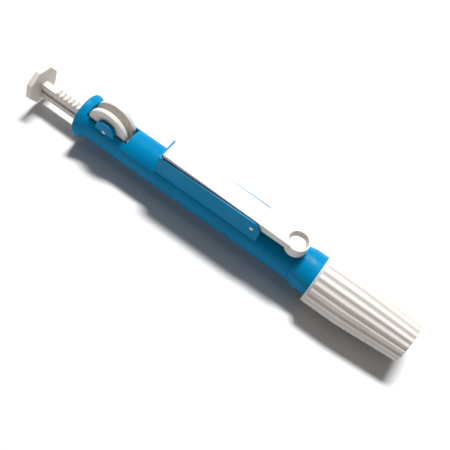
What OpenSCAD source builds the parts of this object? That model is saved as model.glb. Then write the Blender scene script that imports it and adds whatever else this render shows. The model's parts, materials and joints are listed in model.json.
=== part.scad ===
// Hand pump for glass pipettes: a thumbwheel drives a toothed plunger in a round barrel,
// and a spring lever opens an air valve so that the pipette drains quickly.
// Distances run along the barrel axis, from the pipette mouth towards the thumb knob.

/* [Barrel] */
// Outer radius of the barrel
barrel_r = 8.6; // [8.2:0.1:9]
// Radius of the cylinder bore that the piston runs in
bore_r = 7.3; // [7.1:0.1:7.5]
// Distance from the mouth to the open end of the barrel
barrel_end = 172; // [171.5:0.1:172.5]
// Radius of the collar beside the chuck
collar_r = 9.9; // [9.4:0.1:10.5]

/* [Chuck] */
// Length of the ribbed chuck
chuck_len = 48; // [47:0.5:49]
// Radius over the ribs at the wide end
chuck_r = 12.7; // [12:0.1:13.4]
// Radius over the ribs at the mouth
chuck_mouth_r = 10.6; // [10.2:0.1:11.5]
// Length of the straight stretch at the wide end
chuck_straight = 18; // [10:1:25]
// Number of ribs round the chuck
chuck_ribs = 22; // [16:1:26]
// Height of each rib
rib_h = 0.7; // [0.4:0.1:1]
// Radius of the straight socket that takes the pipette
socket_r = 4; // [3.5:0.1:4.4]
// Depth of the straight socket
socket_len = 20; // [16:1:22]

/* [Thumbwheel] */
// Distance from the mouth to the wheel axle
wheel_at = 161.4; // [161:0.1:161.4]
// Radius of the two wheel discs
wheel_r = 10.4; // [9.8:0.1:10.4]
// Thickness of each disc
disc_t = 2.5; // [2:0.1:2.5]
// Module of the gear and the rack
tooth_module = 0.8; // [0.8:0.1:0.8]
// Number of teeth on the gear
gear_teeth = 8; // [8:1:8]

/* [Plunger] */
// How far the inner face of the knob stands off the end cap
knob_gap = 25.2; // [24.5:0.1:30]
// Radius of the eight-sided thumb knob, across its corners
knob_r = 9.6; // [9.2:0.1:10.2]
// Thickness of the thumb knob
knob_t = 2.8; // [2.6:0.1:4]

/* [Lever] */
// Distance from the mouth to the lever pivot
pivot_at = 82.1; // [81.6:0.1:83]
// Distance from the mouth to the air valve
valve_at = 62.6; // [62.5:0.1:63.5]
// Width of the lever pad
pad_w = 9.7; // [9:0.1:9.8]
// Radius of the round valve boss on the lever
boss_r = 5.2; // [4.6:0.1:5.4]

/* [Hidden] */
$fn = 64;

// How far one solid runs into the next, and how far a cut runs past a face
overlap = 0.5;
cut = 1;
sliver = 0.001;
// Gaps: a turning fit, a press fit and a sliding fit
running = 0.06;
push_gap = 0.03;
guide_gap = 0.2;
blue = [0.02, 0.45, 0.75];
white = [0.93, 0.92, 0.89];
ivory = [0.86, 0.83, 0.78];
steel = [0.7, 0.71, 0.73];
rubber = [0.12, 0.12, 0.13];
silicone = [0.8, 0.79, 0.76];

// Nose collar and spigot
barrel_start = 55.5;
cone_start = 53.8;
cone_end = 58.8;
cone_end_r = 8.9;
spigot_r = 7.2;
spigot_start = 30;
air_r = 1.6;
o_ring_at = 34.6;
o_ring_wire_r = 0.5;
o_ring_r = spigot_r - o_ring_wire_r - 0.02;
groove_w = 1.2;

// Wheel bay: a slot for the wheel with an ear on each side
bay_start = 149.7;
slot_w = 10;
ear_in = 4.6;
ear_out = 6.4;
ear_start = wheel_at - 5.4;
ear_end = wheel_at + 4.4;
ear_top = 12;
ear_corner = 4;
axle_r = 1.1;
axle_head_r = 2;
axle_head_t = 0.7;
washer_r = 1.9;

// Gear and rack
pitch_r = tooth_module * gear_teeth / 2;
rack_pitch = PI * tooth_module;
mesh_h = 2.8;
axle_h = mesh_h + pitch_r;
tip_h = 0.85 * tooth_module;
root_h = 1.1 * tooth_module;
backlash = 0.16;
pressure_angle = 28;
base_r = pitch_r * cos(pressure_angle);
tip_r = pitch_r + tip_h;
flank_steps = 4;
gear_w = 3.5;
disc_in = gear_w / 2 + 0.05;
disc_out = disc_in + disc_t;
rod_w = 3.2;
rod_top = 2.3;
rod_bottom = -6.9;
flute_depth = 0.9;
flute_top = -1.2;
flute_bottom = -3.8;
rack_start = 98;
teeth_below = 16;
teeth_above = 12;

// End cap and knob
cap_r = 10.8;
cap_end = barrel_end + 3.8;
cap_rim_t = 1.2;
flare_start = 169.8;
flare_end = cap_end - cap_rim_t;
flare_r = barrel_r + (cap_r - barrel_r) * (barrel_end - flare_start) / (flare_end - flare_start);
tongue_len = 3.5;
tongue_top = -2.5;
knob_face = cap_end + knob_gap;
knob_pocket = 2;
knob_turn = 32;
rack_end = knob_face + knob_pocket;

// Piston
piston_front = 90;
land_t = 1.5;
land_r = bore_r - 0.2;
seal_w = 4;
seal_r = bore_r - 0.05;
seal_waist = 0.4;
seal_lip = 1;
seal_slope = 0.5;
socket_wall = 1.2;
socket_gap = 0.2;
core_r = 5.4;
piston_rear = piston_front + 2 * land_t + seal_w;
socket_end = rack_start + 5;

// Lever housing
housing_start = 78;
housing_end = 132.4;
housing_bottom = 5.2;
housing_top = 15.2;
housing_w = 11.8;
housing_foot_w = 13.6;
wall_t = 0.9;
corner_r = 4.8;
floor_start = 91;
floor_top = 9.1;
pin_h = 10.9;
pin_r = 0.9;
pin_len = 12.5;

// Lever
pad_end = 130.8;
pad_end_h = 17.3;
pad_root = 63.5;
pad_root_h = 15.3;
pad_t = 2;
hub_r = 1.9;
arm_bottom = 11.9;
boss_top = 15.2;
boss_bottom = 9.6;
dish_r = 4.6;
dish_floor_r = 3.8;
dish_floor = 13;

// Air valve
seat_top = 9;
seat_r = 2;
vent_r = 0.8;
valve_gap = 0.05;
valve_disc_r = 2.9;
valve_disc_top = 9.95;
valve_stem_r = 1;
valve_stem_top = 11;

// Lever spring
spring_at = 108;
spring_r = 2.3;
spring_wire_r = 0.25;
spring_turns = 4.5;
spring_steps = 14;
spring_sides = 8;
spring_bottom = floor_top + 0.3;
spring_top = 14.25;
post_r = 1.6;
post_top = 10.3;

// Chuck
rib_w = 1.7;
rib_start = 0.5;
rim_t = 0.9;
chuck_bore_r = spigot_r + push_gap;
rib_root_r = 8.5;
lip_r = 6.5;
lip_t = 2;
funnel_end = 26;

// Every module below is drawn as [height above the axis, side, distance] and then laid
// along the barrel axis, which runs from the mouth at the origin towards -X.
module on_axis() { rotate([0, -90, 0]) children(); }

// A round bar along the barrel
module bar(from, to, r) {
    translate([0, 0, from]) cylinder(h = to - from, r = r);
}

// A tapered round bar along the barrel
module cone(from, to, r_from, r_to) {
    translate([0, 0, from]) cylinder(h = to - from, r1 = r_from, r2 = r_to);
}

// A round bar across the barrel, between two side positions
module cross_bar(height, dist, from, to, r) {
    translate([height, from, dist]) rotate([-90, 0, 0]) cylinder(h = to - from, r = r);
}

// A round stud standing up from the barrel
module stud(dist, low, high, r) {
    translate([low, 0, dist]) rotate([0, 90, 0]) cylinder(h = high - low, r = r);
}

// A block centred across the barrel
module block(from, to, width, low, high) {
    translate([low, -width / 2, from]) cube([high - low, width, to - from]);
}

// A flat outline of [height, distance] points, given a width across the barrel
module plate(width) {
    translate([0, width / 2, 0]) rotate([90, 0, 0]) linear_extrude(width) children();
}

// The hole that the rack passes through, with clearance all round
module rack_slot(from, to, gap) {
    block(from, to, rod_w + 2 * gap, rod_bottom - gap, mesh_h + tip_h + gap);
}

// A plate across one side of the barrel, its two top corners rounded
module ear(side) {
    near = side > 0 ? ear_in : -ear_out;
    intersection() {
        union() {
            block(ear_start, ear_end, 2 * ear_out, 0, ear_top - ear_corner);
            block(ear_start + ear_corner, ear_end - ear_corner, 2 * ear_out, 0, ear_top);
            for (dist = [ear_start + ear_corner, ear_end - ear_corner])
                cross_bar(ear_top - ear_corner, dist, -ear_out, ear_out, ear_corner);
        }
        translate([0, near, ear_start])
            cube([ear_top, ear_out - ear_in, ear_end - ear_start]);
    }
}

module barrel() {
    color(blue) on_axis() difference() {
        union() {
            difference() {
                union() {
                    bar(barrel_start, barrel_end, barrel_r);
                    cone(flare_start, barrel_end, barrel_r, flare_r);
                }
                block(bay_start, barrel_end + cut, slot_w, 0, 2 * barrel_r);
            }
            stud(valve_at, bore_r + overlap, seat_top, seat_r);
            ear(1);
            ear(-1);
        }
        bar(barrel_start - cut, barrel_end + cut, bore_r);
        stud(valve_at, bore_r - cut, seat_top + cut, vent_r);
        cross_bar(axle_h, wheel_at, -barrel_r, barrel_r, axle_r + push_gap);
        cross_bar(axle_h, wheel_at, ear_out, barrel_r + cut, axle_head_r + guide_gap);
    }
}

module nose_collar() {
    color(blue) on_axis() difference() {
        union() {
            bar(spigot_start, chuck_len + overlap, spigot_r);
            bar(chuck_len, cone_start, collar_r);
            cone(cone_start, cone_end, collar_r, cone_end_r);
        }
        bar(barrel_start, cone_end + cut, barrel_r + push_gap);
        bar(spigot_start - cut, barrel_start + cut, air_r);
        difference() {
            bar(o_ring_at - groove_w / 2, o_ring_at + groove_w / 2, spigot_r + cut);
            bar(o_ring_at - groove_w, o_ring_at + groove_w, o_ring_r - o_ring_wire_r);
        }
    }
}

module end_cap() {
    color(blue) on_axis() difference() {
        union() {
            cone(barrel_end, flare_end, flare_r, cap_r);
            bar(flare_end, cap_end, cap_r);
            intersection() {
                bar(barrel_end - tongue_len, barrel_end + overlap, bore_r - push_gap);
                block(barrel_end - tongue_len, barrel_end + overlap, 2 * barrel_r,
                      -barrel_r, tongue_top);
            }
        }
        rack_slot(barrel_end - tongue_len - cut, cap_end + cut, guide_gap);
    }
}

// The housing's outside: wider at its foot, with the top corner by the pivot rounded
module housing_shell() {
    intersection() {
        translate([0, 0, housing_start]) linear_extrude(housing_end - housing_start) polygon([
            [housing_bottom, -housing_foot_w / 2], [housing_top, -housing_w / 2],
            [housing_top, housing_w / 2], [housing_bottom, housing_foot_w / 2]]);
        union() {
            block(housing_start, housing_end, housing_foot_w, 0, housing_top - corner_r);
            block(housing_start + corner_r, housing_end, housing_foot_w, 0, housing_top);
            cross_bar(housing_top - corner_r, housing_start + corner_r,
                      -housing_foot_w / 2, housing_foot_w / 2, corner_r);
        }
    }
}

module lever_housing() {
    inner_w = housing_w - 2 * wall_t;
    color(blue) on_axis() difference() {
        union() {
            difference() {
                housing_shell();
                block(housing_start - cut, floor_start, inner_w, 0, housing_top + cut);
                block(housing_start - cut, housing_end - wall_t, inner_w, floor_top, housing_top + cut);
            }
            stud(spring_at, floor_top - overlap / 2, post_top, post_r);
        }
        bar(housing_start - cut, housing_end + cut, barrel_r);
        cross_bar(pin_h, pivot_at, -pin_len, pin_len, pin_r + push_gap);
    }
}

module wheel_axle() {
    color(white) on_axis() {
        cross_bar(axle_h, wheel_at, -ear_out, ear_out + overlap, axle_r);
        cross_bar(axle_h, wheel_at, ear_out, ear_out + axle_head_t, axle_head_r);
    }
}

// A ring across the barrel, centred on the wheel axle
module wheel_ring(from, to, outer, inner) {
    difference() {
        cross_bar(axle_h, wheel_at, from, to, outer);
        cross_bar(axle_h, wheel_at, from - cut, to + cut, inner);
    }
}

module friction_washers() {
    color(rubber) on_axis() {
        wheel_ring(disc_out + push_gap, ear_in - push_gap, washer_r, axle_r + running);
        wheel_ring(push_gap - ear_in, -push_gap - disc_out, washer_r, axle_r + running);
    }
}

module lever_pin() {
    color(steel) on_axis()
        cross_bar(pin_h, pivot_at, -pin_len / 2, pin_len / 2, pin_r);
}

// A point on the spring wire: a share of the way up and an angle round the wire
function wire_point(share, angle) =
    let (turn = 360 * spring_turns * share, r = spring_r + spring_wire_r * cos(angle))
    [spring_bottom + (spring_top - spring_bottom) * share + spring_wire_r * sin(angle),
     r * sin(turn), spring_at + r * cos(turn)];

module lever_spring() {
    rings = ceil(spring_turns * spring_steps);
    last = rings * spring_sides;
    points = [for (i = [0:rings], k = [0:spring_sides - 1])
        wire_point(i / rings, 360 * k / spring_sides)];
    sides = [for (i = [0:rings - 1], k = [0:spring_sides - 1])
        let (n = (k + 1) % spring_sides, a = i * spring_sides, b = a + spring_sides)
        [a + k, a + n, b + n, b + k]];
    ends = [[for (k = [spring_sides - 1:-1:0]) k], [for (k = [0:spring_sides - 1]) last + k]];
    color(steel) on_axis() polyhedron(points, concat(sides, ends), convexity = 8);
}

module chuck_rib() {
    plate(rib_w) polygon([
        [rib_root_r, rib_start],
        [chuck_mouth_r, rib_start],
        [chuck_r, chuck_len - chuck_straight],
        [chuck_r, chuck_len - overlap],
        [rib_root_r, chuck_len - overlap]]);
}

module chuck() {
    core_end_r = chuck_r - rib_h;
    color(white) on_axis() difference() {
        union() {
            cone(0, chuck_len - chuck_straight, chuck_mouth_r - rib_h, core_end_r);
            bar(chuck_len - chuck_straight, chuck_len, core_end_r);
            bar(chuck_len - rim_t, chuck_len, chuck_r - rib_h / 4);
            for (i = [0:chuck_ribs - 1]) rotate([0, 0, 360 * (i + 0.5) / chuck_ribs]) chuck_rib();
        }
        bar(-cut, lip_t + cut, lip_r);
        bar(lip_t, chuck_len + cut, chuck_bore_r);
    }
}

module pipette_grip() {
    color(silicone) on_axis() difference() {
        union() {
            bar(0, lip_t + overlap, lip_r - push_gap);
            bar(lip_t + push_gap, spigot_start - push_gap, spigot_r);
        }
        bar(-cut, socket_len, socket_r);
        cone(socket_len - sliver, funnel_end, socket_r, air_r);
        bar(funnel_end - cut, spigot_start + cut, air_r);
    }
}

module chuck_o_ring() {
    color(rubber) on_axis() translate([0, 0, o_ring_at]) rotate_extrude()
        translate([o_ring_r, 0]) circle(r = o_ring_wire_r);
}

// Half the width of a straight rack tooth at a height above the pitch line
function rack_half(h) = rack_pitch / 4 - backlash / 4 - h * tan(pressure_angle);

module rack() {
    low = mesh_h - root_h;
    high = mesh_h + tip_h;
    first = wheel_at - (teeth_below + 0.5) * rack_pitch;
    last = wheel_at + (teeth_above + 0.5) * rack_pitch;
    teeth = [for (i = [-teeth_below:teeth_above], p = [[low, -rack_half(-root_h)],
        [high, -rack_half(tip_h)], [high, rack_half(tip_h)], [low, rack_half(-root_h)]])
        [p[0], wheel_at + i * rack_pitch + p[1]]];
    color(ivory) on_axis() difference() {
        plate(rod_w) polygon(concat(
            [[rod_bottom, rack_start], [rod_top, rack_start], [rod_top, first], [low, first]],
            teeth,
            [[low, last], [rod_top, last], [rod_top, rack_end], [rod_bottom, rack_end]]));
        flute(rod_w / 2 - flute_depth);
        flute(-rod_w / 2);
    }
}

// A channel down one side of the rack
module flute(side) {
    translate([flute_bottom, side, socket_end])
        cube([flute_top - flute_bottom, flute_depth, knob_face - socket_end]);
}

module thumb_knob() {
    color(white) on_axis() difference() {
        translate([0, 0, knob_face]) rotate([0, 0, knob_turn])
            cylinder(h = knob_t, r = knob_r, $fn = 8);
        rack_slot(knob_face - cut, rack_end + push_gap, push_gap);
    }
}

module piston_head() {
    color(white) on_axis() difference() {
        union() {
            bar(piston_front, piston_front + land_t, land_r);
            bar(piston_front, piston_rear, core_r);
            bar(piston_rear - land_t, piston_rear, land_r);
            intersection() {
                bar(piston_rear - overlap, socket_end, land_r - socket_gap);
                block(piston_rear - overlap, socket_end, rod_w + 2 * socket_wall,
                      -bore_r, mesh_h + tip_h + socket_wall);
            }
        }
        rack_slot(rack_start - push_gap, socket_end + cut, push_gap);
    }
}

module piston_seal() {
    start = piston_front + land_t + push_gap;
    end = piston_rear - land_t - push_gap;
    color(rubber) on_axis() rotate_extrude() polygon([
        [core_r + push_gap, start],
        [seal_r, start],
        [seal_r, start + seal_lip],
        [seal_r - seal_waist, start + seal_lip + seal_slope],
        [seal_r - seal_waist, end - seal_lip - seal_slope],
        [seal_r, end - seal_lip],
        [seal_r, end],
        [core_r + push_gap, end]]);
}

// Involute of an angle, in degrees
function inv(a) = tan(a) * 180 / PI - a;

// Half the angle that a gear tooth fills at a radius
function tooth_half(r) =
    90 / gear_teeth - backlash / 4 / pitch_r * 180 / PI + inv(pressure_angle) - inv(acos(base_r / r));

function flank_r(i) = base_r + (tip_r - base_r) * i / flank_steps;

// The outline of one tooth, centred on an angle
function gear_tooth(centre) = concat(
    [polar(pitch_r - root_h, centre - tooth_half(base_r))],
    [for (i = [0:flank_steps]) polar(flank_r(i), centre - tooth_half(flank_r(i)))],
    [for (i = [flank_steps:-1:0]) polar(flank_r(i), centre + tooth_half(flank_r(i)))],
    [polar(pitch_r - root_h, centre + tooth_half(base_r))]);

function polar(r, a) = [r * cos(a), r * sin(a)];

module drive_gear() {
    step = 360 / gear_teeth;
    outline = [for (i = [0:gear_teeth - 1]) each gear_tooth(180 + (i + 0.5) * step)];
    color(white) on_axis() difference() {
        translate([axle_h, 0, wheel_at]) plate(gear_w) polygon(outline);
        cross_bar(axle_h, wheel_at, -gear_w, gear_w, axle_r + running);
    }
}

module wheel_disc_front() {
    color(white) on_axis() wheel_ring(-disc_out, -disc_in, wheel_r, axle_r + running);
}

module wheel_disc_back() {
    color(white) on_axis() wheel_ring(disc_in, disc_out, wheel_r, axle_r + running);
}

// The round dish sunk in the top of the valve boss, wider at the top
module dish() {
    translate([dish_floor, 0, valve_at]) rotate([0, 90, 0])
        cylinder(h = boss_top - dish_floor, r1 = dish_floor_r, r2 = dish_r);
    stud(valve_at, boss_top - sliver, boss_top + cut, dish_r);
}

module lever() {
    color(white) on_axis() difference() {
        union() {
            plate(pad_w) polygon([
                [pad_end_h - pad_t, pad_end],
                [pad_end_h, pad_end],
                [pad_root_h, pad_root],
                [pad_root_h - pad_t, pad_root]]);
            cross_bar(pin_h, pivot_at, -pad_w / 2, pad_w / 2, hub_r);
            block(pivot_at - hub_r, pivot_at + hub_r, pad_w, pin_h, pad_root_h - overlap);
            block(pad_root, pivot_at, pad_w, arm_bottom, pad_root_h - overlap);
            stud(valve_at, boss_bottom, boss_top, boss_r);
        }
        cross_bar(pin_h, pivot_at, -pad_w, pad_w, pin_r + running);
        dish();
        stud(valve_at, boss_bottom - cut, valve_disc_top + push_gap, valve_disc_r + push_gap);
        stud(valve_at, boss_bottom - cut, valve_stem_top + push_gap, valve_stem_r + push_gap);
    }
}

module valve_pad() {
    color(rubber) on_axis() {
        stud(valve_at, seat_top + valve_gap, valve_disc_top, valve_disc_r);
        stud(valve_at, valve_disc_top - overlap, valve_stem_top, valve_stem_r);
    }
}

barrel();
nose_collar();
end_cap();
lever_housing();
wheel_axle();
friction_washers();
lever_pin();
lever_spring();
chuck();
pipette_grip();
chuck_o_ring();
rack();
thumb_knob();
piston_head();
piston_seal();
drive_gear();
wheel_disc_front();
wheel_disc_back();
lever();
valve_pad();
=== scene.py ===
"""Looks for the pipette pump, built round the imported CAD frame.

Places are written as in part.scad, in millimetres: distance from the mouth along the barrel, side, and
height above the barrel's axis. at() turns them into the frame's metres. Sizes are in millimetres too,
but for those marked metres.
"""

import json
import math

import bmesh
import bpy
from mathutils import Matrix, Vector


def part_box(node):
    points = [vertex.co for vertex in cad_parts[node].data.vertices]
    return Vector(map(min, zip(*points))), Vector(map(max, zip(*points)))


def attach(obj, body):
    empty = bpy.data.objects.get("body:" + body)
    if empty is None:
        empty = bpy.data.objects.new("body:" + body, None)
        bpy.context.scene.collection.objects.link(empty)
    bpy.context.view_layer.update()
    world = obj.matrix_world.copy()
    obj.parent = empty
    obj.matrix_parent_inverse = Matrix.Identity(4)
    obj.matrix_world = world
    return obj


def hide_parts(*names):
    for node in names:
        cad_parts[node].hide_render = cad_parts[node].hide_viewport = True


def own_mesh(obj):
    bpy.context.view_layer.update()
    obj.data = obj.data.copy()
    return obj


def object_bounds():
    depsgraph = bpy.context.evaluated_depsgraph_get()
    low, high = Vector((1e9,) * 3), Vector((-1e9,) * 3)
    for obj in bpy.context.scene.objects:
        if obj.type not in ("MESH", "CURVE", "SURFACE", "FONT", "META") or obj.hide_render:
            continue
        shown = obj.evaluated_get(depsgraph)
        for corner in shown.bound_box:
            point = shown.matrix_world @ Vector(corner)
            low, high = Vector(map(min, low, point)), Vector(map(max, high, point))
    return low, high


MM = 0.001

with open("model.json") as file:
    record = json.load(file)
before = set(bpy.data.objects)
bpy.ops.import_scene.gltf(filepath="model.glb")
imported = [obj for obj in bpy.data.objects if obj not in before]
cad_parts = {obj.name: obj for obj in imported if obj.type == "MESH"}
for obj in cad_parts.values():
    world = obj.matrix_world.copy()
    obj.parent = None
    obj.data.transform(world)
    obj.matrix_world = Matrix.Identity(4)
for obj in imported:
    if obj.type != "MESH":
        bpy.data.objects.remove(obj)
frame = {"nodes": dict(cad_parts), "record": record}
cad_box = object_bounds()


# ---------------------------------------------------------------- places and profiles

TINY = 1e-9  # an edge shorter than this has no direction
HALF_EDGE = 0.49  # a corner's arc takes at most this share of an edge


def at(dist, side, height):
    """The frame's point, in metres, for a place written in millimetres."""
    return Vector((-dist, side, height)) * MM


def ends(node):
    """The nearest and furthest distance from the mouth of a CAD node, in millimetres."""
    low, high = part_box(node)
    return -high.x / MM, -low.x / MM


def rounded(points, radii, steps=5):
    """A closed outline with each corner turned into an arc of its own radius."""
    out = []
    count = len(points)
    for i, here in enumerate(points):
        here = Vector(here)
        back = Vector(points[i - 1]) - here
        ahead = Vector(points[(i + 1) % count]) - here
        radius = radii[i] if isinstance(radii, (list, tuple)) else radii
        if radius <= 0 or back.length < TINY or ahead.length < TINY:
            out.append(here)
            continue
        half = back.angle(ahead) / 2
        reach = min(radius / math.tan(half), HALF_EDGE * back.length, HALF_EDGE * ahead.length)
        radius = reach * math.tan(half)
        inward = (back.normalized() + ahead.normalized()).normalized()
        centre = here + inward * radius / math.sin(half)
        start = here + back.normalized() * reach - centre
        stop = here + ahead.normalized() * reach - centre
        turn = start.angle_signed(stop)
        for k in range(steps + 1):
            arm = start.copy()
            arm.rotate(Matrix.Rotation(-turn * k / steps, 2))
            out.append(centre + arm)
    return out


# ---------------------------------------------------------------- pieces

SAME_POINT = 1e-7  # metres: points this close are one
WELD = 2e-6  # metres: the same for a CAD mesh, which is less exact
FLAT_ANGLE = math.radians(1)  # CAD faces that turn less than this become one
EDGE_ANGLE = math.radians(32)  # edges that turn more than this are rounded
ALL_SMOOTH = 180  # degrees: no edge counts as sharp


def piece_of(name, bm, nodes, slot, body, sharp):
    """Makes the mesh an object, smooth but for edges over sharp degrees.

    It stands for the CAD nodes, wears its slot's material and rides on the body.
    """
    bmesh.ops.remove_doubles(bm, verts=bm.verts, dist=SAME_POINT)
    bmesh.ops.recalc_face_normals(bm, faces=bm.faces)
    limit = math.radians(sharp)
    for face in bm.faces:
        face.smooth = True
    for edge in bm.edges:
        edge.smooth = len(edge.link_faces) == 2 and edge.calc_face_angle(0) < limit
    mesh = bpy.data.meshes.new(name)
    bm.to_mesh(mesh)
    bm.free()
    obj = bpy.data.objects.new(name, mesh)
    bpy.context.scene.collection.objects.link(obj)
    mesh.materials.append(LOOKS[slot])
    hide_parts(*nodes)
    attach(obj, body)
    return obj


def join_rings(bm, rings):
    """Faces between each closed ring of points and the one after it."""
    for ring, following in zip(rings, rings[1:]):
        for k in range(len(ring)):
            n = (k + 1) % len(ring)
            bm.faces.new((ring[k], ring[n], following[n], following[k]))


def lathe(bm, section, place, steps):
    """Turns section(angle), a closed outline of (along, radius); place gives each point."""
    rings = []
    for i in range(steps):
        angle = 2 * math.pi * i / steps
        rings.append([bm.verts.new(place(a, r, angle)) for a, r in section(angle)])
    join_rings(bm, rings + rings[:1])


def along_barrel(dist, radius, angle):
    """A point round the barrel's axis; angle 0 is straight up."""
    return at(dist, radius * math.sin(angle), radius * math.cos(angle))


def across(dist, height):
    """A place function for a shape turned round a line across the barrel."""
    return lambda side, radius, angle: at(
        dist + radius * math.sin(angle), side, height + radius * math.cos(angle)
    )


def slab(bm, outline, place, low, high, edge, steps=4):
    """A plate with the given outline, from low to high, with its two rims rounded by edge."""
    turns = [math.pi / 2 * k / steps for k in range(steps + 1)]
    rim = [(edge * (1 - math.cos(turn)), edge * (1 - math.sin(turn))) for turn in turns]
    layers = [(low + rise, inset) for rise, inset in rim]
    layers += [(high - rise, inset) for rise, inset in reversed(rim)]
    count = len(outline)
    inward = []
    for i in range(count):
        here = Vector(outline[i])
        ahead = (Vector(outline[(i + 1) % count]) - here).normalized()
        back = (here - Vector(outline[i - 1])).normalized()
        mean = (ahead + back).normalized()
        scale = max(0.5, mean.dot(ahead))
        inward.append(Vector((-mean.y, mean.x)) / scale)
    area = sum(
        outline[i][0] * outline[(i + 1) % count][1] - outline[(i + 1) % count][0] * outline[i][1]
        for i in range(count)
    )
    sign = 1 if area > 0 else -1
    rings = []
    for z, inset in layers:
        ring = []
        for here, normal in zip(outline, inward):
            p = Vector(here) + normal * inset * sign
            ring.append(bm.verts.new(place(p.x, p.y, z)))
        rings.append(ring)
    join_rings(bm, rings)
    bm.faces.new(list(reversed(rings[0])))
    bm.faces.new(rings[-1])


def softened(name, node, width, slot, body, segments=3):
    """A copy of a CAD node with its moulded edges rounded, over width millimetres."""
    bm = bmesh.new()
    bm.from_mesh(frame["nodes"][node].data)
    bmesh.ops.remove_doubles(bm, verts=bm.verts, dist=WELD)
    bmesh.ops.dissolve_limit(
        bm,
        angle_limit=FLAT_ANGLE,
        use_dissolve_boundaries=False,
        verts=bm.verts,
        edges=bm.edges,
        delimit=set(),
    )
    obj = piece_of(name, bm, [node], slot, body, ALL_SMOOTH)
    bevel = obj.modifiers.new("rounded_edges", "BEVEL")
    bevel.limit_method = "ANGLE"
    bevel.angle_limit = EDGE_ANGLE
    bevel.width = width * MM
    bevel.segments = segments
    bevel.use_clamp_overlap = True
    bevel.harden_normals = True


# ---------------------------------------------------------------- materials

TONE_STOPS = (0.25, 0.55, 0.8)  # where in the noise the dark, middle and light tones stand
SINK_DEPTH = 0.0004  # metres
GRAIN_DEPTH = 0.00008


def node_of(tree, kind, **values):
    """A shader node with some of its inputs set; From_Min names the input "From Min"."""
    made = tree.nodes.new(kind)
    for key, value in values.items():
        made.inputs[key.replace("_", " ")].default_value = value
    return made


def noise(tree, vector, scale, detail=3.0, rough=0.5):
    """Cloudy noise, scale to the metre."""
    made = node_of(tree, "ShaderNodeTexNoise", Scale=scale, Detail=detail, Roughness=rough)
    tree.links.new(vector, made.inputs["Vector"])
    return made.outputs["Fac"]


def ramp(tree, factor, stops):
    """A colour for each factor, from (factor, colour) stops."""
    made = node_of(tree, "ShaderNodeValToRGB")
    elements = made.color_ramp.elements
    while len(elements) < len(stops):
        elements.new(0.5)
    for element, (place, colour) in zip(elements, stops):
        element.position = place
        element.color = (*colour, 1)
    tree.links.new(factor, made.inputs["Fac"])
    return made.outputs["Color"]


def mapped(tree, factor, start, stop, low, high):
    """low where the factor is start or less, high where it is stop or more, and even between."""
    made = node_of(
        tree, "ShaderNodeMapRange", From_Min=start, From_Max=stop, To_Min=low, To_Max=high
    )
    tree.links.new(factor, made.inputs["Value"])
    return made.outputs["Result"]


def bump(tree, height, strength, distance, under=None):
    """A relief of the given depth in metres, laid on the one under it."""
    made = node_of(tree, "ShaderNodeBump", Strength=strength, Distance=distance)
    tree.links.new(height, made.inputs["Height"])
    if under is not None:
        tree.links.new(under, made.inputs["Normal"])
    return made.outputs["Normal"]


def new_material(name):
    """A node material, with its tree, its shader and the object's own coordinates."""
    material = bpy.data.materials.new(name)
    material.use_nodes = True
    tree = material.node_tree
    place = node_of(tree, "ShaderNodeTexCoord").outputs["Object"]
    return material, tree, tree.nodes["Principled BSDF"], place


def moulded(name, tones, rough, grain, waves=0.25, sheen=0.0, soft=0.0, specular=0.5, metal=0.0):
    """Plastic, rubber or metal: mottled colour, uneven gloss, a fine grain and soft sink marks."""
    material, tree, shader, place = new_material(name)
    clouds = noise(tree, place, 60, 2.0)
    specks = noise(tree, place, 900, 4.0, 0.6)
    streaks = noise(tree, place, 260, 3.0)
    colour = ramp(tree, clouds, list(zip(TONE_STOPS, tones)))
    tree.links.new(colour, shader.inputs["Base Color"])
    tree.links.new(mapped(tree, streaks, 0.3, 0.7, *rough), shader.inputs["Roughness"])
    wavy = bump(tree, clouds, waves, SINK_DEPTH)
    tree.links.new(bump(tree, specks, grain, GRAIN_DEPTH, wavy), shader.inputs["Normal"])
    shader.inputs["Specular IOR Level"].default_value = specular
    shader.inputs["Metallic"].default_value = metal
    shader.inputs["Sheen Weight"].default_value = sheen
    shader.inputs["Subsurface Weight"].default_value = soft
    shader.inputs["Subsurface Radius"].default_value = (0.002, 0.0018, 0.0015)
    shader.inputs["Subsurface Scale"].default_value = 1.0
    return material


LOOKS = {
    "blue_plastic": moulded(
        "blue_plastic",
        [(0.0, 0.2, 0.41), (0.0, 0.215, 0.435), (0.001, 0.23, 0.46)],
        rough=(0.3, 0.42), grain=0.25, specular=0.08,
    ),
    "white_plastic": moulded(
        "white_plastic",
        [(0.66, 0.615, 0.58), (0.7, 0.655, 0.62), (0.73, 0.69, 0.66)],
        rough=(0.36, 0.5), grain=0.25, soft=0.05,
    ),
    "ivory_plastic": moulded(
        "ivory_plastic",
        [(0.66, 0.6, 0.54), (0.71, 0.65, 0.59), (0.75, 0.7, 0.64)],
        rough=(0.4, 0.55), grain=0.3, soft=0.05,
    ),
    "steel": moulded(
        "steel",
        [(0.5, 0.51, 0.53), (0.6, 0.61, 0.63), (0.68, 0.69, 0.7)],
        rough=(0.2, 0.38), grain=0.2, waves=0.05, metal=1.0,
    ),
    "black_rubber": moulded(
        "black_rubber",
        [(0.012, 0.012, 0.013), (0.02, 0.02, 0.021), (0.032, 0.032, 0.033)],
        rough=(0.6, 0.78), grain=0.5, sheen=0.1, specular=0.35,
    ),
    "silicone": moulded(
        "silicone",
        [(0.6, 0.58, 0.53), (0.66, 0.64, 0.59), (0.72, 0.7, 0.66)],
        rough=(0.45, 0.62), grain=0.35, soft=0.15,
    ),
}


def dress_cad_nodes():
    """Every CAD node gets its slot's own procedural material."""
    slots = {p["node"]: p["material_slot"] for p in frame["record"]["subparts"]}
    for name, obj in frame["nodes"].items():
        obj.data.materials.clear()
        obj.data.materials.append(LOOKS[slots[name]])


# ---------------------------------------------------------------- chuck

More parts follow.
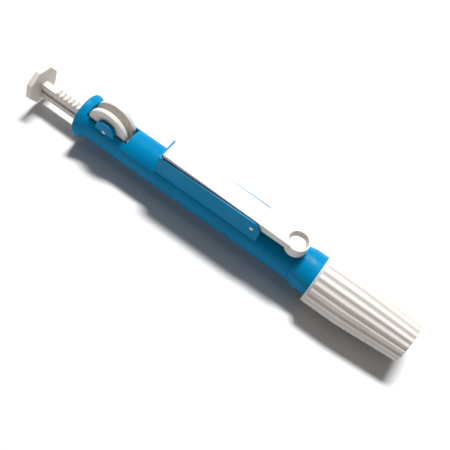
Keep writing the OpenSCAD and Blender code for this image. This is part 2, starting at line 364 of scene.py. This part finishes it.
RIBS = 22
RIB_H = 0.5
RIB_TURN = math.radians(-3)  # turns the ribs about the barrel's axis
RIB_SHARPNESS = 1.15  # above 1 makes the ribs narrower than the valleys
RIB_STEPS = 16  # points round the chuck for each rib
CHUCK_R = 12.7
MOUTH_R = 10.6
STRAIGHT = 18  # length of the part that doesn't taper
RIM = 0.9  # length of the plain rim at the collar
DRAWN_LENGTH = 48  # the length that chuck_rows is written for
CHUCK_BORE_R = 7.23
FUNNEL_R = 6.5


def chuck_core(dist, length):
    """Radius between the ribs."""
    taper = length - STRAIGHT
    if dist >= taper:
        return CHUCK_R - RIB_H
    return MOUTH_R - RIB_H + (CHUCK_R - MOUTH_R) * dist / taper


def rib_height(angle, fade):
    """How far the ribbed surface stands out; fade takes the ribs from none (0) to full (1)."""
    return RIB_H * fade * (0.5 + 0.5 * math.cos(RIBS * (angle + RIB_TURN))) ** RIB_SHARPNESS


def chuck_rows(length):
    """(distance, inset of the core, how far the ribs stand) down the outside of the chuck."""
    nose = [(0.02, 0.28, 0.1), (0.08, 0.12, 0.4), (0.2, 0.03, 0.75), (0.4, 0, 0.95), (0.7, 0, 1)]
    middle = [(d, 0, 1) for d in (3, 8, 14, 20, 26, 29, 30, 31, 36, 42, 45.5)]
    foot = [(46.2, 0, 1), (46.6, 0, 0.85), (46.85, 0, 0.5), (47.0, 0, 0.2)]
    scale = length / DRAWN_LENGTH
    return [(d * scale, inset, fade) for d, inset, fade in nose + middle + foot]


def chuck_shell():
    """The chuck: ribs down the outside, then a plain rim, the bore and the mouth of the funnel."""
    length = ends("chuck")[1]
    ribbed = [(d, chuck_core(d, length) - inset, fade) for d, inset, fade in chuck_rows(length)]
    rim = CHUCK_R - RIB_H / 4
    collar_side = [
        (length - RIM, rim - 0.25), (length - RIM + 0.12, rim - 0.06), (length - RIM + 0.3, rim),
        (length - 0.3, rim), (length - 0.1, rim - 0.08), (length, rim - 0.3),
    ]
    inside = [
        (length, CHUCK_BORE_R), (2, CHUCK_BORE_R), (2, FUNNEL_R), (0.3, FUNNEL_R),
        (0.08, FUNNEL_R + 0.08), (0, FUNNEL_R + 0.3), (0, MOUTH_R - RIB_H - 0.5),
    ]

    def section(angle):
        return [(d, r + rib_height(angle, fade)) for d, r, fade in ribbed] + collar_side + inside

    bm = bmesh.new()
    lathe(bm, section, along_barrel, RIBS * RIB_STEPS)
    piece_of("ribbed_chuck", bm, ["chuck"], "white_plastic", "body", 50)


# ---------------------------------------------------------------- thumbwheel

HUB_R = 1.16
FACE_STEP = 0.15  # how far the dished face lies below the hub and the rim


def wheel_disc(name, node):
    """A disc with a raised hub, a face dished a little, and a rim rounded more on its outer side."""
    low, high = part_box(node)
    inner, outer = low.y / MM, high.y / MM
    radius = (high.z - low.z) / 2 / MM
    dist = -(low.x + high.x) / 2 / MM
    height = (low.z + high.z) / 2 / MM
    out, back, way = (outer, inner, 1) if inner + outer > 0 else (inner, outer, -1)
    face = out - FACE_STEP * way
    outline = [
        (back, HUB_R), (out, HUB_R), (out, 3.0), (face, 3.3),
        (face, radius - 2.2), (out, radius - 1.7), (out, radius), (back, radius),
    ]
    profile = rounded(outline, [0, 0.1, 0.15, 0.15, 0.3, 0.3, 0.75, 0.45])
    bm = bmesh.new()
    lathe(bm, lambda angle: profile, across(dist, height), 144)
    piece_of(name, bm, [node], "white_plastic", "thumbwheel", 60)


# ---------------------------------------------------------------- plunger

KNOB_R = 9.6
KNOB_SIDES = 8
KNOB_TURN = 32


def thumb_knob():
    """The eight-sided plate at the plunger's end."""
    near, far = ends("thumb_knob")
    bm = bmesh.new()
    turns = [math.radians(KNOB_TURN + 360 * k / KNOB_SIDES) for k in range(KNOB_SIDES)]
    outline = [(KNOB_R * math.cos(turn), KNOB_R * math.sin(turn)) for turn in turns]
    slab(bm, rounded(outline, 0.5, 4), lambda h, s, d: at(d, s, h), near, far, 0.35)
    piece_of("knob_plate", bm, ["thumb_knob"], "ivory_plastic", "plunger", 60)


# ---------------------------------------------------------------- lever spring

WIRE_R = 0.25 * MM  # metres
TURNS = 4.5
TURN_STEPS = 24
WIRE_SIDES = 10
CLOSED_RISE = 0.12  # share of the height that the closed turn at either end takes


def coil_lift(share):
    """Height up the spring, from 0 to 1, at a share of the way along its wire."""
    closed = 1 / TURNS
    lift = CLOSED_RISE * min(share, closed, 1 - closed) / closed
    lift += (1 - 2 * CLOSED_RISE) * min(max((share - closed) / (1 - 2 * closed), 0), 1)
    return lift + CLOSED_RISE * max(share - 1 + closed, 0) / closed


def coil_spring():
    """The lever's return spring, wound inside the box of its CAD node."""
    low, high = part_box("lever_spring")
    middle = (low + high) / 2
    radius = (high.y - low.y) / 2 - WIRE_R
    rise = high.z - low.z - 2 * WIRE_R
    bm = bmesh.new()
    rings = []
    for i in range(round(TURNS * TURN_STEPS) + 1):
        share = i / (TURNS * TURN_STEPS)
        turn = 2 * math.pi * TURNS * share
        ring = []
        for k in range(WIRE_SIDES):
            round_wire = 2 * math.pi * k / WIRE_SIDES
            reach = radius + WIRE_R * math.cos(round_wire)
            up = WIRE_R + rise * coil_lift(share) + WIRE_R * math.sin(round_wire)
            ring.append(bm.verts.new((
                middle.x - reach * math.cos(turn),
                middle.y + reach * math.sin(turn),
                low.z + up,
            )))
        rings.append(ring)
    join_rings(bm, rings)
    bm.faces.new(rings[0])
    bm.faces.new(rings[-1])
    obj = piece_of("return_spring", bm, ["lever_spring"], "steel", "body", 40)
    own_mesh(obj)


def build():
    """Every piece of the object, each in the place of its CAD node."""
    dress_cad_nodes()
    chuck_shell()
    wheel_disc("wheel_front", "wheel_disc_front")
    wheel_disc("wheel_back", "wheel_disc_back")
    thumb_knob()
    softened("end_flange", "end_cap", 0.45, "blue_plastic", "body", 4)
    softened("barrel_shell", "barrel", 0.2, "blue_plastic", "body")
    softened("collar_shell", "nose_collar", 0.3, "blue_plastic", "body")
    softened("housing_shell", "lever_housing", 0.3, "blue_plastic", "body")
    softened("lever_shell", "lever", 0.4, "white_plastic", "release_lever", 4)
    softened("rack_bar", "rack", 0.12, "ivory_plastic", "plunger", 2)
    coil_spring()
    softened("axle_ends", "wheel_axle", 0.25, "white_plastic", "body")


# ---------------------------------------------------------------- stage

AIM = Vector((-0.1, 0, 0))  # the middle of the object, where the lamps point
FLOOR_HALF = 1.2  # metres


def floor(low_z):
    """A pale paper floor under the object's lowest point."""
    bm = bmesh.new()
    centre = AIM + Vector((0, 0, low_z))
    corners = [(-1, -1), (1, -1), (1, 1), (-1, 1)]
    bm.faces.new([
        bm.verts.new(centre + Vector((x * FLOOR_HALF, y * FLOOR_HALF, 0))) for x, y in corners
    ])
    mesh = bpy.data.meshes.new("floor")
    bm.to_mesh(mesh)
    bm.free()
    obj = bpy.data.objects.new("floor", mesh)
    bpy.context.scene.collection.objects.link(obj)
    material, tree, shader, place = new_material("floor_paper")
    tones = [(0.3, (0.73, 0.73, 0.73)), (0.7, (0.75, 0.75, 0.75))]
    tree.links.new(ramp(tree, noise(tree, place, 300), tones), shader.inputs["Base Color"])
    shader.inputs["Roughness"].default_value = 0.9
    shader.inputs["Specular IOR Level"].default_value = 0.1
    mesh.materials.append(material)


def lamp(name, place, size, power):
    """A rectangular lamp of (width, height) metres and power watts at a place, facing the object."""
    data = bpy.data.lights.new(name, "AREA")
    data.shape = "RECTANGLE"
    data.size, data.size_y = size
    data.energy = power
    obj = bpy.data.objects.new(name, data)
    bpy.context.scene.collection.objects.link(obj)
    obj.location = place
    obj.rotation_mode = "QUATERNION"
    obj.rotation_quaternion = (AIM - place).to_track_quat("-Z", "Y")
    return obj


def from_back(rise, far, lean=0):
    """A place on the +Y side, rise degrees up and far metres off, leaning to the knob's end."""
    turn, tip = math.radians(rise), math.radians(lean)
    across_barrel = Vector((0, math.cos(turn), math.sin(turn))) * math.cos(tip)
    return AIM + (across_barrel + Vector((-math.sin(tip), 0, 0))) * far


def lights():
    """A distant hard key, a broad soft light above, and pale studio walls all round."""
    lamp("key", from_back(65, 3.0, 7), (0.9, 0.42), 130)
    soft = lamp("overhead", from_back(72, 1.2), (1.4, 1.4), 3.2)
    soft.visible_glossy = False
    walls()


def walls():
    """A world that is pale near the horizon and dark overhead, so that the floor keeps its shadow."""
    world = bpy.data.worlds.new("studio")
    bpy.context.scene.world = world
    world.use_nodes = True
    tree = world.node_tree
    back = tree.nodes["Background"]
    back.inputs["Color"].default_value = (1, 0.965, 0.94, 1)
    way = node_of(tree, "ShaderNodeTexCoord").outputs["Generated"]
    apart = node_of(tree, "ShaderNodeSeparateXYZ")
    tree.links.new(way, apart.inputs[0])
    strength = mapped(tree, apart.outputs["Z"], 0.24, 0.38, 0.6, 0.015)
    tree.links.new(strength, back.inputs["Strength"])


FRAME_WIDTH = 450  # pixels
FOCAL = 695.9  # pixels
SENSOR_WIDTH = 36
CAMERA_PLACE = (-54.695, -162.455, 261.324)


def camera():
    """The viewpoint above the near side, turned so that the barrel runs down to the right."""
    right = Vector((0.81112864, 0.5466467, 0.20796085))
    down = Vector((0.57110086, -0.66358298, -0.48321987))
    ahead = right.cross(down).normalized()
    data = bpy.data.cameras.new("camera")
    data.sensor_width = SENSOR_WIDTH
    data.lens = FOCAL * SENSOR_WIDTH / FRAME_WIDTH
    data.clip_start, data.clip_end = 0.01, 10
    obj = bpy.data.objects.new("camera", data)
    bpy.context.scene.collection.objects.link(obj)
    turn = Matrix((right, -down, -ahead)).transposed().to_4x4()
    place = Matrix.Translation(Vector(CAMERA_PLACE) * MM)
    obj.matrix_world = place @ turn
    bpy.context.scene.camera = obj


def stage():
    """Floor, lights and camera; plain Standard view, so that colours are not shifted."""
    floor(cad_box[0].z)
    lights()
    camera()
    bpy.context.scene.view_settings.view_transform = "Standard"


build()
stage()
